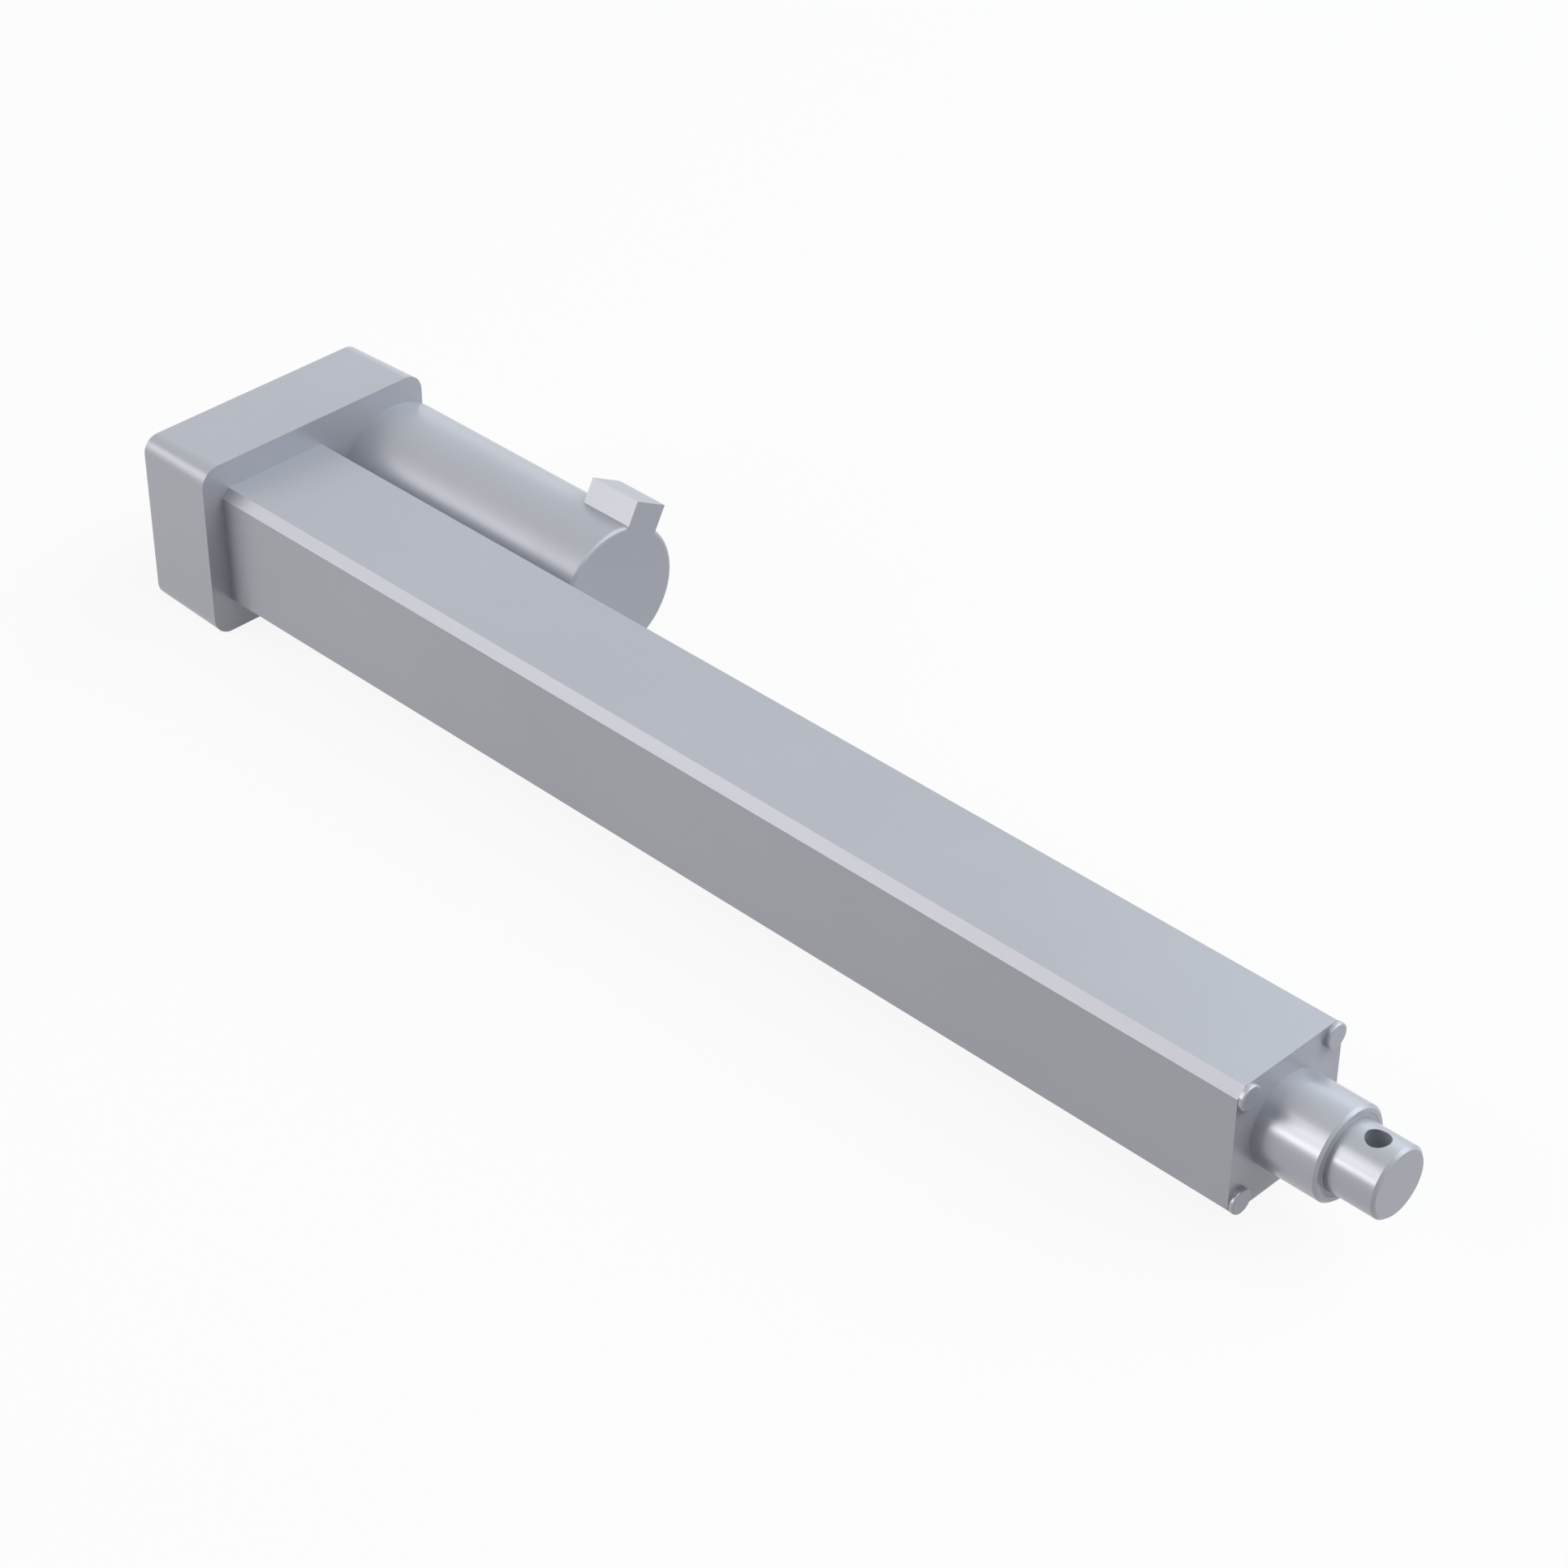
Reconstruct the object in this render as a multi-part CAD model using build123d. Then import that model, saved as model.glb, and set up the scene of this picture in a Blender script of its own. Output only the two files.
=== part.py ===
from build123d import *
import math
import os

# Electric linear actuator: a square tube with a round rod, a gear housing at its rear end,
# and a direct-current motor that lies beside the tube and drives a lead screw through two pairs of gears.
# Millimetres. +X is the way the rod extends, +Y is the motor's side, +Z is up.
# The origin is the middle of the rear eye's pin bore, on the axis of the tube, screw and rod.

# Tube
tube_size = 60.0
tube_chamfer = 4.0
tube_length = 558.5
tube_wall = 6.0
key_groove_width = 6.6
key_groove_depth = 2.5
sensor_groove_width = 10.0
sensor_groove_depth = 3.5
port_inset = 5.6
port_radius = 3.05

# Gear housing
housing_depth = 42.5
left_overhang = 10.0
motor_overhang = 13.35
top_overhang = 13.0
bottom_overhang = 12.0
housing_corner = 9.0
housing_draft = 1.67
housing_wall = 6.0
front_wall = 7.0
rear_edge_round = 0.8
cavity_corner = 5.0
ledge_width = 2.4
boss_radius = 4.8
boss_inset = 9.4
middle_boss_across = 12.0

# Rear cover and its eye
cover_thickness = 6.0
gasket_thickness = 0.6
eye_reach = 18.5
eye_radius = 15.0
eye_height = 24.0
eye_blend = 4.0
pin_radius = 5.0
bush_wall = 2.0

# Front head
plate_thickness = 10.0
spigot_length = 48.0
collar_radius = 20.0
collar_length = 29.4
collar_chamfer = 1.2
collar_neck_radius = 18.5
collar_neck_length = 6.0
guide_bush_wall = 2.0
guide_bush_length = 40.0
seal_width = 6.0
seal_depth = 2.9
seal_setback = 12.0
wiper_width = 5.0
wiper_depth = 2.0
wiper_recess = 0.5
buffer_thickness = 4.0
buffer_gap = 2.0

# Rod, piston and nut
dead_length = 158.5
rod_radius = 15.0
rod_bore_radius = 10.5
rod_reach = 51.5
rod_chamfer = 1.25
rod_end_length = 40.0
rod_spigot_length = 30.0
cross_hole_setback = 11.0
piston_length = 60.0
piston_end_gap = 2.5
piston_wall_gap = 0.4
rod_seat_depth = 12.0
seat_shoulder = 3.0
nut_radius = 14.0
nut_length = 40.0
wear_ring_width = 6.0
wear_ring_wall = 1.9
wear_ring_setback = 3.0
key_width = 6.0
key_length = 34.0
key_seat_depth = 5.0
key_tip_gap = 0.5
magnet_length = 8.0
magnet_width = 6.0
magnet_height = 3.4
magnet_setback = 1.0

# Lead screw and its bearings
screw_radius = 8.0
screw_overrun = 8.0
guide_ring_gap = 0.3
guide_ring_width = 7.0
guide_ring_bore = 7.0
guide_ring_setback = 1.0
screw_chamfer = 1.0
journal_radius = 7.5
shoulder_radius = 10.0
bearing_radius = 17.5
bearing_width = 11.0
bearing_spread = 10.0
ball_radius = 2.9
ball_count = 8
ball_flat_share = 0.86
ball_bevel = 0.58
ball_face_share = 0.66
raceway_gap = 0.1
raceway_mouth_gap = 0.3
bearing_spacer_wall = 2.0
carrier_lip = 4.0
carrier_mouth = 14.0
wall_passage = 12.0
lock_nut_radius = 11.0
lock_nut_width = 4.0
lock_nut_slots = 4
lock_nut_slot_width = 4.0
gear_key_width = 5.0

# Gears
pinion_teeth = 15
wheel_teeth = 36
pressure_angle = 20.0
addendum_share = 0.95
dedendum_share = 1.25
tooth_play = 0.12
flank_points = 5
motor_wheel_width = 8.0
screw_wheel_width = 11.0
wheel_spacing = 1.0
wheel_start = 11.5
idler_share = 0.55
idler_drop = 10.53
idler_axle_radius = 4.0
idler_bush_wall = 2.0
idler_bush_length = 7.0
idler_spigot_radius = 8.0
axle_boss_radius = 8.0
axle_seat_depth = 5.0
axle_end_gap = 1.0
web_recess = 1.5
web_margin = 3.0

# Motor
motor_gap = 5.35
motor_rise = 0.5
motor_radius = 31.5
motor_length = 147.7
motor_rim = 2.0
can_wall = 2.5
front_plate_thickness = 10.0
motor_pilot_radius = 13.0
motor_pilot_length = 3.5
can_lip = 4.0
end_cap_length = 28.0
end_cap_wall = 4.0
shaft_radius = 4.0
sleeve_radius = 8.0
sleeve_length = 10.0
sleeve_boss_wall = 4.0
shaft_end_gap = 1.0
air_gap = 0.7
magnet_wall = 5.8
magnet_arc = 130.0
magnet_span = 75.0
magnet_start = 24.0
core_span = 69.0
core_slots = 12
slot_width = 2.6
slot_depth = 8.0
winding_overhang = 9.0
winding_inset = 3.5
winding_wall = 10.5
winding_edge = 2.0
commutator_radius = 11.0
commutator_length = 14.0
commutator_gap = 3.0
bar_slit_depth = 2.0
bar_slit = 0.6
brush_width = 5.0
brush_length = 10.0
brush_height = 10.5
brush_gap = 0.3
brush_box_wall = 1.4
holder_thickness = 3.0
holder_hole = 13.0

# Connector block on the motor's end cap
block_tilt = 28.7
block_width = 18.0
block_top = 41.8
socket_width = 13.0
socket_height = 6.8
socket_roof = 1.5
socket_depth = 14.0
contact_length = 7.0
contact_size = 1.2
contact_count = 3

# Fasteners
plate_head_radius = 5.4
plate_head_height = 2.2
plate_head_round = 0.8
plate_screw_radius = 3.0
plate_screw_length = 30.0
tube_head_radius = 5.0
tube_head_height = 5.0
tube_screw_length = 28.0
cover_screw_radius = 2.5
cover_head_radius = 4.4
cover_head_height = 3.0
cover_screw_length = 20.0
carrier_screw_radius = 2.0
carrier_head_radius = 3.5
carrier_head_height = 4.0
carrier_screw_length = 14.0
carrier_screw_count = 3
motor_screw_radius = 2.5
motor_screw_circle = 22.0
motor_head_radius = 4.4
motor_head_height = 4.5
counterbore_depth = 3.5
counterbore_gap = 0.3
motor_screw_end_gap = 1.0

# Limit sensing
strip_width = 8.0
strip_thickness = 1.2
strip_seat_gap = 0.05
reed_radius = 1.0
reed_length = 14.0

# Clearances, all radial or per side
press_gap = 0.02
running_gap = 0.05
sliding_gap = 0.4
screw_gap = 0.2

# Places along X that follow from the sizes above
half_tube = tube_size / 2
bore_radius = half_tube - tube_wall
stroke = tube_length - dead_length
buffer_radius = bore_radius - buffer_gap
key_inner_radius = bore_radius - key_seat_depth
carrier_screw_circle = (bearing_radius + bore_radius) / 2
housing_rear = eye_reach
housing_front = housing_rear + housing_depth
wall_inside = housing_front - front_wall
ledge = housing_rear + cover_thickness + gasket_thickness
tube_front = housing_front + tube_length
head_front = tube_front + plate_thickness
collar_front = head_front + collar_length
rod_front = head_front + rod_reach
cross_hole = rod_front - cross_hole_setback
spigot_rear = tube_front - spigot_length
piston_front = spigot_rear - buffer_thickness - piston_end_gap - stroke
piston_rear = piston_front - piston_length
rod_rear = piston_front - rod_seat_depth
nut_front = rod_rear - seat_shoulder
nut_rear = nut_front - nut_length
carrier_front = housing_front + 2 * bearing_width + bearing_spread + carrier_lip
screw_front = nut_front + stroke + screw_overrun
screw_wheel_rear = housing_rear + wheel_start
screw_wheel_front = screw_wheel_rear + screw_wheel_width
motor_wheel_rear = screw_wheel_front + wheel_spacing
motor_wheel_front = motor_wheel_rear + motor_wheel_width
screw_rear = screw_wheel_rear - lock_nut_width

# Places across
motor_across = half_tube + motor_gap + motor_radius
motor_up = motor_rise
housing_left = -half_tube - left_overhang
housing_right = motor_across + motor_radius - motor_overhang
housing_top = half_tube + top_overhang
housing_bottom = -half_tube - bottom_overhang
housing_width = housing_right - housing_left
housing_height = housing_top - housing_bottom
housing_across = (housing_left + housing_right) / 2
housing_up = (housing_top + housing_bottom) / 2
port_offset = half_tube - port_inset
rotor_radius = motor_radius - can_wall - magnet_wall - air_gap
winding_radius = rotor_radius - winding_inset
idler_across = idler_share * motor_across
idler_up = -idler_drop
motor_front = housing_front + motor_length
end_cap_rear = motor_front - end_cap_length
can_rear = housing_front + front_plate_thickness
core_rear = housing_front + magnet_start + (magnet_span - core_span) / 2
core_front = core_rear + core_span
commutator_rear = core_front + winding_overhang + commutator_gap
commutator_front = commutator_rear + commutator_length

# The modules follow from the axes' spacing, so both pairs stay in mesh
motor_idler_distance = math.hypot(motor_across - idler_across, motor_up - idler_up)
idler_screw_distance = math.hypot(idler_across, idler_up)
motor_module = 2 * motor_idler_distance / (pinion_teeth + wheel_teeth)
screw_module = 2 * idler_screw_distance / (pinion_teeth + wheel_teeth)
idler_to_motor = math.atan2(motor_up - idler_up, motor_across - idler_across)
idler_to_screw = math.atan2(-idler_up, -idler_across)


def across_plane(x, y=0.0, z=0.0):
    """A drawing plane square to the tube at x, whose first axis is Y and second is Z."""
    return Plane(origin=(x, y, z), x_dir=(0, 1, 0), z_dir=(1, 0, 0))


def rod_along(radius, x_from, x_to, y=0.0, z=0.0):
    """A round bar along X."""
    return extrude(across_plane(x_from, y, z) * Circle(radius), x_to - x_from)


def ring_along(outer, inner, x_from, x_to, y=0.0, z=0.0):
    """A plain ring along X."""
    return extrude(across_plane(x_from, y, z) * (Circle(outer) - Circle(inner)), x_to - x_from)


def block_between(x_range, y_range, z_range):
    """A box given by its three ranges."""
    middle = [(low + high) / 2 for low, high in (x_range, y_range, z_range)]
    size = [high - low for low, high in (x_range, y_range, z_range)]
    return Pos(*middle) * Box(*size)


def rounded_outline(x, width, height, corner):
    """A rounded rectangle on the middle of the gear housing, square to the tube."""
    return across_plane(x, housing_across, housing_up) * RectangleRounded(width, height, corner)


def turned(points, y=0.0, z=0.0):
    """A body turned about an axis along X from a half outline of (x, radius) points."""
    outline = make_face(Polyline([(x, 0, radius) for x, radius in points], close=True))
    return Pos(0, y, z) * revolve(outline, Axis.X)


def port_places():
    """The four corner screws' places around the tube axis."""
    return [(y, z) for y in (-port_offset, port_offset) for z in (-port_offset, port_offset)]


def cover_screw_places():
    """The cover screws: one in each corner, and one in the middle of the top and the bottom."""
    left = housing_left + boss_inset
    right = housing_right - boss_inset
    low = housing_bottom + boss_inset
    high = housing_top - boss_inset
    corners = [(left, low), (left, high), (right, low), (right, high)]
    return corners + [(middle_boss_across, low), (middle_boss_across, high)]


def carrier_screw_places():
    """The bearing carrier's screws, evenly spaced around the tube axis."""
    turn = 2 * math.pi / carrier_screw_count
    angles = [math.pi / 2 + turn * i for i in range(carrier_screw_count)]
    return [(carrier_screw_circle * math.cos(a), carrier_screw_circle * math.sin(a)) for a in angles]


def motor_screw_places():
    """The motor's screws: above, below and on the tube's side of the motor axis."""
    turns = (math.pi / 2, math.pi, 3 * math.pi / 2)
    return [
        (motor_across + motor_screw_circle * math.cos(a), motor_up + motor_screw_circle * math.sin(a))
        for a in turns
    ]


def screw_bar(head_radius, head_height, shank_radius, seat, length, y, z):
    """A cap screw whose head's underside is at seat, with its shank towards +X."""
    head = rod_along(head_radius, seat - head_height, seat, y, z)
    return head + rod_along(shank_radius, seat, seat + length, y, z)


def involute(radius_ratio):
    """The involute angle of a point that lies radius_ratio base radii out."""
    t = math.sqrt(max(radius_ratio ** 2 - 1.0, 0.0))
    return t - math.atan(t)


def gear_outline(module, teeth, phase):
    """A spur gear's face with involute flanks, one tooth centred at the angle phase."""
    pitch = module * teeth / 2
    base = pitch * math.cos(math.radians(pressure_angle))
    tip = pitch + addendum_share * module
    root = pitch - dedendum_share * module
    start = max(base, root)
    half_tooth = math.pi / (2 * teeth) - tooth_play / (2 * pitch) + involute(pitch / base)
    radii = [start + (tip - start) * i / (flank_points - 1) for i in range(flank_points)]
    flank = [(radius, half_tooth - involute(radius / base)) for radius in radii]
    if root < start:
        flank.insert(0, (root, flank[0][1]))
    points = []
    for tooth in range(teeth):
        centre = phase + 2 * math.pi * tooth / teeth
        points += [(r * math.cos(centre - a), r * math.sin(centre - a)) for r, a in flank]
        points += [(r * math.cos(centre + a), r * math.sin(centre + a)) for r, a in reversed(flank)]
    return make_face(Polyline(points, close=True))


def spur_gear(module, teeth, phase, x_from, x_to, bore, y=0.0, z=0.0):
    """A spur gear along X with a round bore."""
    face = gear_outline(module, teeth, phase) - Circle(bore)
    return extrude(across_plane(x_from, y, z) * face, x_to - x_from)


def web_recesses(module, teeth, hub, x_from, x_to, y=0.0, z=0.0):
    """The shallow turned recesses between a gear's hub and its rim, on both sides."""
    rim = module * teeth / 2 - dedendum_share * module - web_margin
    low = ring_along(rim, hub, x_from, x_from + web_recess, y, z)
    return low + ring_along(rim, hub, x_to - web_recess, x_to, y, z)


# Gear housing and rear cover

def gear_housing():
    front = Plane(origin=(housing_front, housing_across, housing_up), x_dir=(0, -1, 0), z_dir=(-1, 0, 0))
    outline = RectangleRounded(housing_width, housing_height, housing_corner)
    body = extrude(front * outline, housing_depth, taper=housing_draft)
    rear_edges = body.edges().filter_by_position(Axis.X, housing_rear - 0.01, housing_rear + 0.01)
    body = fillet(rear_edges, rear_edge_round)
    cavity_width = housing_width - 2 * housing_wall
    cavity_height = housing_height - 2 * housing_wall
    cavity = rounded_outline(housing_rear, cavity_width, cavity_height, cavity_corner)
    body -= extrude(cavity, wall_inside - housing_rear)
    rebate = rounded_outline(
        housing_rear,
        cavity_width + 2 * ledge_width,
        cavity_height + 2 * ledge_width,
        cavity_corner + ledge_width,
    )
    body -= extrude(rebate, ledge - housing_rear)
    for y, z in cover_screw_places():
        body += rod_along(boss_radius, ledge, wall_inside, y, z)
        body -= rod_along(cover_screw_radius + running_gap, ledge, ledge + cover_screw_length, y, z)
    body += rod_along(axle_boss_radius, motor_wheel_front + sliding_gap, wall_inside, idler_across, idler_up)
    axle_hole = idler_axle_radius + press_gap
    body -= rod_along(axle_hole, motor_wheel_front, wall_inside + axle_seat_depth, idler_across, idler_up)
    body -= rod_along(wall_passage, wall_inside, housing_front)
    body -= rod_along(motor_pilot_radius + press_gap, wall_inside, housing_front, motor_across, motor_up)
    holes = [(port_places(), tube_head_radius, plate_screw_radius)]
    holes += [(carrier_screw_places(), carrier_head_radius, carrier_screw_radius)]
    holes += [(motor_screw_places(), motor_head_radius, motor_screw_radius)]
    for places, head, shank in holes:
        for y, z in places:
            body -= rod_along(head + counterbore_gap, wall_inside, wall_inside + counterbore_depth, y, z)
            body -= rod_along(shank + screw_gap, wall_inside, housing_front, y, z)
    return body


def cover_outline(x, gap):
    width = housing_width - 2 * (housing_wall - ledge_width + gap)
    height = housing_height - 2 * (housing_wall - ledge_width + gap)
    return rounded_outline(x, width, height, cavity_corner + ledge_width - gap)


def rear_cover():
    cover_front = housing_rear + cover_thickness
    plate = extrude(cover_outline(housing_rear, screw_gap), cover_thickness)
    eye = Cylinder(eye_radius, eye_height)
    tongue = block_between((0, housing_rear), (-eye_radius, eye_radius), (-eye_height / 2, eye_height / 2))
    body = plate + (eye + tongue)
    foot = body.edges().filter_by_position(Axis.X, housing_rear - 0.01, housing_rear + 0.01)
    near = [edge for edge in foot if abs(edge.center().Y) < eye_radius + 1 and abs(edge.center().Z) < eye_height]
    body = fillet(near, eye_blend)
    body -= Cylinder(pin_radius + bush_wall, eye_height)
    body += rod_along(axle_boss_radius, cover_front, screw_wheel_rear - sliding_gap, idler_across, idler_up)
    axle_hole = idler_axle_radius + press_gap
    hole_start = cover_front - axle_seat_depth + axle_end_gap
    body -= rod_along(axle_hole, hole_start, screw_wheel_rear, idler_across, idler_up)
    for y, z in cover_screw_places():
        seat = housing_rear + cover_head_height
        body -= rod_along(cover_head_radius + counterbore_gap, housing_rear, seat, y, z)
        body -= rod_along(cover_screw_radius + screw_gap, seat, cover_front, y, z)
    return body


def eye_bush():
    return Cylinder(pin_radius + bush_wall - press_gap, eye_height) - Cylinder(pin_radius, eye_height)


def cover_gasket():
    x = housing_rear + cover_thickness
    cavity = rounded_outline(
        x, housing_width - 2 * housing_wall, housing_height - 2 * housing_wall, cavity_corner
    )
    outline = cover_outline(x, screw_gap)
    sheet = extrude(outline - cavity, gasket_thickness)
    for y, z in cover_screw_places():
        pad = rod_along(boss_radius, x, x + gasket_thickness, y, z)
        sheet += pad & extrude(outline, gasket_thickness)
        sheet -= rod_along(cover_screw_radius + screw_gap, x, x + gasket_thickness, y, z)
    return sheet


def cover_screws():
    seat = housing_rear + cover_head_height
    length = cover_screw_length
    return [
        screw_bar(cover_head_radius, cover_head_height, cover_screw_radius, seat, length, y, z)
        for y, z in cover_screw_places()
    ]


# Tube, bearing carrier and front head

def tube_section():
    section = chamfer(Rectangle(tube_size, tube_size).vertices(), tube_chamfer)
    section -= Circle(bore_radius)
    reach = bore_radius + key_groove_depth
    section -= Rectangle(2 * reach, key_groove_width)
    floor = bore_radius + sensor_groove_depth
    section -= Pos(0, -floor / 2) * Rectangle(sensor_groove_width, floor)
    for y, z in port_places():
        section -= Pos(y, z) * Circle(port_radius)
    return section


def outer_tube():
    return extrude(across_plane(housing_front) * tube_section(), tube_length)


def tube_screws():
    seat = wall_inside + counterbore_depth
    return [
        screw_bar(tube_head_radius, tube_head_height, plate_screw_radius, seat, tube_screw_length, y, z)
        for y, z in port_places()
    ]


def bearing_carrier():
    lip = carrier_front - carrier_lip
    outside = bore_radius - press_gap
    body = turned([
        (housing_front, bearing_radius),
        (housing_front, outside),
        (carrier_front, outside),
        (carrier_front, carrier_mouth),
        (lip, carrier_mouth),
        (lip, bearing_radius),
    ])
    for y, z in carrier_screw_places():
        hole = carrier_screw_radius + running_gap
        body -= rod_along(hole, housing_front, housing_front + carrier_screw_length, y, z)
    return body


def carrier_screws():
    seat = wall_inside + counterbore_depth
    length = carrier_screw_length
    return [
        screw_bar(carrier_head_radius, carrier_head_height, carrier_screw_radius, seat, length, y, z)
        for y, z in carrier_screw_places()
    ]


def bearing_starts():
    """Where the two screw bearings begin."""
    return (housing_front, housing_front + bearing_width + bearing_spread)


def ball_circle():
    """The radius of the circle on which the balls' centres lie."""
    return (bearing_radius + journal_radius) / 2


def raceway_ring(start, seat_radius, face_radius, floor_radius):
    """One bearing ring with a raceway cut in the face that meets the balls."""
    middle = start + bearing_width / 2
    mouth = ball_radius - raceway_mouth_gap
    floor = ball_radius / 3
    return turned([
        (start, seat_radius),
        (start, face_radius),
        (middle - mouth, face_radius),
        (middle - floor, floor_radius),
        (middle + floor, floor_radius),
        (middle + mouth, face_radius),
        (start + bearing_width, face_radius),
        (start + bearing_width, seat_radius),
    ])


def screw_bearing_outer_rings():
    seat = bearing_radius - press_gap
    face = ball_circle() + ball_radius * ball_face_share
    floor = ball_circle() + ball_radius + raceway_gap
    return [raceway_ring(start, seat, face, floor) for start in bearing_starts()]


def screw_bearing_inner_rings():
    seat = journal_radius + press_gap
    face = ball_circle() - ball_radius * ball_face_share
    floor = ball_circle() - ball_radius - raceway_gap
    return [raceway_ring(start, seat, face, floor) for start in bearing_starts()]


def screw_bearing_balls():
    """Each ball is a bevelled block whose corners reach the ball's radius, which keeps its copies light."""
    size = 2 * ball_radius * ball_flat_share
    ball = chamfer(Box(size, size, size).edges(), size / 2 * ball_bevel)
    balls = []
    for start in bearing_starts():
        for i in range(ball_count):
            angle = 2 * math.pi * i / ball_count
            y = ball_circle() * math.cos(angle)
            z = ball_circle() * math.sin(angle)
            balls.append(Pos(start + bearing_width / 2, y, z) * ball)
    return balls


def outer_bearing_spacer():
    start = housing_front + bearing_width
    outside = bearing_radius - press_gap
    return ring_along(outside, outside - bearing_spacer_wall, start, start + bearing_spread)


def inner_bearing_spacer():
    start = housing_front + bearing_width
    return ring_along(shoulder_radius, journal_radius + press_gap, start, start + bearing_spread)


def front_head():
    outside = bore_radius - press_gap
    bush_seat = rod_radius + running_gap + guide_bush_wall + press_gap
    plate = chamfer(Rectangle(tube_size, tube_size).vertices(), tube_chamfer)
    body = extrude(across_plane(tube_front) * plate, plate_thickness)
    body += rod_along(outside, spigot_rear, tube_front)
    body -= rod_along(rod_radius + sliding_gap, spigot_rear, head_front)
    body -= rod_along(bush_seat, spigot_rear, spigot_rear + guide_bush_length)
    body -= rod_along(collar_neck_radius + press_gap, head_front - collar_neck_length, head_front)
    for y, z in port_places():
        body -= rod_along(plate_screw_radius + screw_gap, tube_front, head_front, y, z)
    return body


def rod_collar():
    neck_rear = head_front - collar_neck_length
    seal_rear = head_front + seal_setback
    wiper_rear = collar_front - wiper_recess - wiper_width
    passage = rod_radius + sliding_gap
    seal_seat = rod_radius + seal_depth + 2 * press_gap
    wiper_seat = rod_radius + wiper_depth + 2 * press_gap
    return turned([
        (neck_rear, passage),
        (neck_rear, collar_neck_radius),
        (head_front, collar_neck_radius),
        (head_front, collar_radius),
        (collar_front - collar_chamfer, collar_radius),
        (collar_front, collar_radius - collar_chamfer),
        (collar_front, wiper_seat),
        (wiper_rear, wiper_seat),
        (wiper_rear, passage),
        (seal_rear + seal_width, passage),
        (seal_rear + seal_width, seal_seat),
        (seal_rear, seal_seat),
        (seal_rear, passage),
    ])


def front_screws():
    screws = []
    for y, z in port_places():
        head = rod_along(plate_head_radius, head_front, head_front + plate_head_height, y, z)
        rim = head.edges().filter_by_position(Axis.X, head_front + 0.1, head_front + plate_head_height + 0.1)
        head = fillet(rim, plate_head_round)
        screws.append(head + rod_along(plate_screw_radius, head_front - plate_screw_length, head_front, y, z))
    return screws


def guide_bush():
    inside = rod_radius + running_gap
    outside = inside + guide_bush_wall
    return ring_along(outside, inside, spigot_rear, spigot_rear + guide_bush_length)


def rod_seal():
    start = head_front + seal_setback
    return ring_along(rod_radius + seal_depth, rod_radius + running_gap, start, start + seal_width)


def wiper_seal():
    front = collar_front - wiper_recess
    return ring_along(rod_radius + wiper_depth, rod_radius + running_gap, front - wiper_width, front)


def front_buffer():
    return ring_along(buffer_radius, rod_radius + sliding_gap, spigot_rear - buffer_thickness, spigot_rear)


def rear_buffer():
    return ring_along(buffer_radius, carrier_mouth, carrier_front, carrier_front + buffer_thickness)


def strip_floor():
    return -bore_radius - sensor_groove_depth + strip_seat_gap


def sensor_strip():
    low = strip_floor()
    x_range = (carrier_front, spigot_rear)
    return block_between(x_range, (-strip_width / 2, strip_width / 2), (low, low + strip_thickness))


def reed_switches():
    z = strip_floor() + strip_thickness + reed_radius
    middle = (nut_rear + nut_front) / 2
    starts = (middle - reed_length / 2, middle - reed_length / 2 + stroke)
    return [rod_along(reed_radius, start, start + reed_length, 0, z) for start in starts]


# Rod, piston and nut

def piston():
    outside = bore_radius - piston_wall_gap
    nut_seat = nut_radius + press_gap
    body = turned([
        (piston_rear, nut_seat),
        (piston_rear, outside),
        (piston_front, outside),
        (piston_front, rod_radius + press_gap),
        (rod_rear, rod_radius + press_gap),
        (rod_rear, rod_bore_radius),
        (nut_front, rod_bore_radius),
        (nut_front, nut_seat),
    ])
    for start in wear_ring_starts():
        body -= ring_along(outside + 1, outside - wear_ring_wall, start, start + wear_ring_width)
    for y_range in key_ranges():
        half = key_width / 2 + press_gap
        body -= block_between(key_span(), y_range, (-half, half))
    body -= magnet_block(-bore_radius, press_gap)
    return body


def wear_ring_starts():
    """The two wear rings sit near the piston's ends."""
    return (piston_rear + wear_ring_setback, piston_front - wear_ring_setback - wear_ring_width)


def key_span():
    middle = (piston_rear + piston_front) / 2
    return (middle - key_length / 2, middle + key_length / 2)


def key_ranges():
    """The keys' reach across, on the far side and on the near side."""
    tip = bore_radius + key_groove_depth - key_tip_gap
    return [(-tip, -key_inner_radius), (key_inner_radius, tip)]


def guide_keys():
    return [block_between(key_span(), y_range, (-key_width / 2, key_width / 2)) for y_range in key_ranges()]


def wear_rings():
    inside = bore_radius - piston_wall_gap - wear_ring_wall + press_gap
    outside = bore_radius - running_gap
    return [ring_along(outside, inside, start, start + wear_ring_width) for start in wear_ring_starts()]


def magnet_block(low, gap):
    middle = (nut_rear + nut_front) / 2
    half_length = magnet_length / 2 + gap
    half_width = magnet_width / 2 + gap
    x_range = (middle - half_length, middle + half_length)
    return block_between(x_range, (-half_width, half_width), (low, -bore_radius + magnet_setback + magnet_height))


def position_magnet():
    return magnet_block(-bore_radius + magnet_setback, 0.0)


def drive_nut():
    return ring_along(nut_radius, screw_radius + running_gap, nut_rear, nut_front)


def nut_retainer():
    return ring_along(nut_radius, screw_radius + sliding_gap, piston_rear, nut_rear)


def extension_rod():
    return ring_along(rod_radius, rod_bore_radius, rod_rear, rod_front - rod_end_length)


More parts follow.
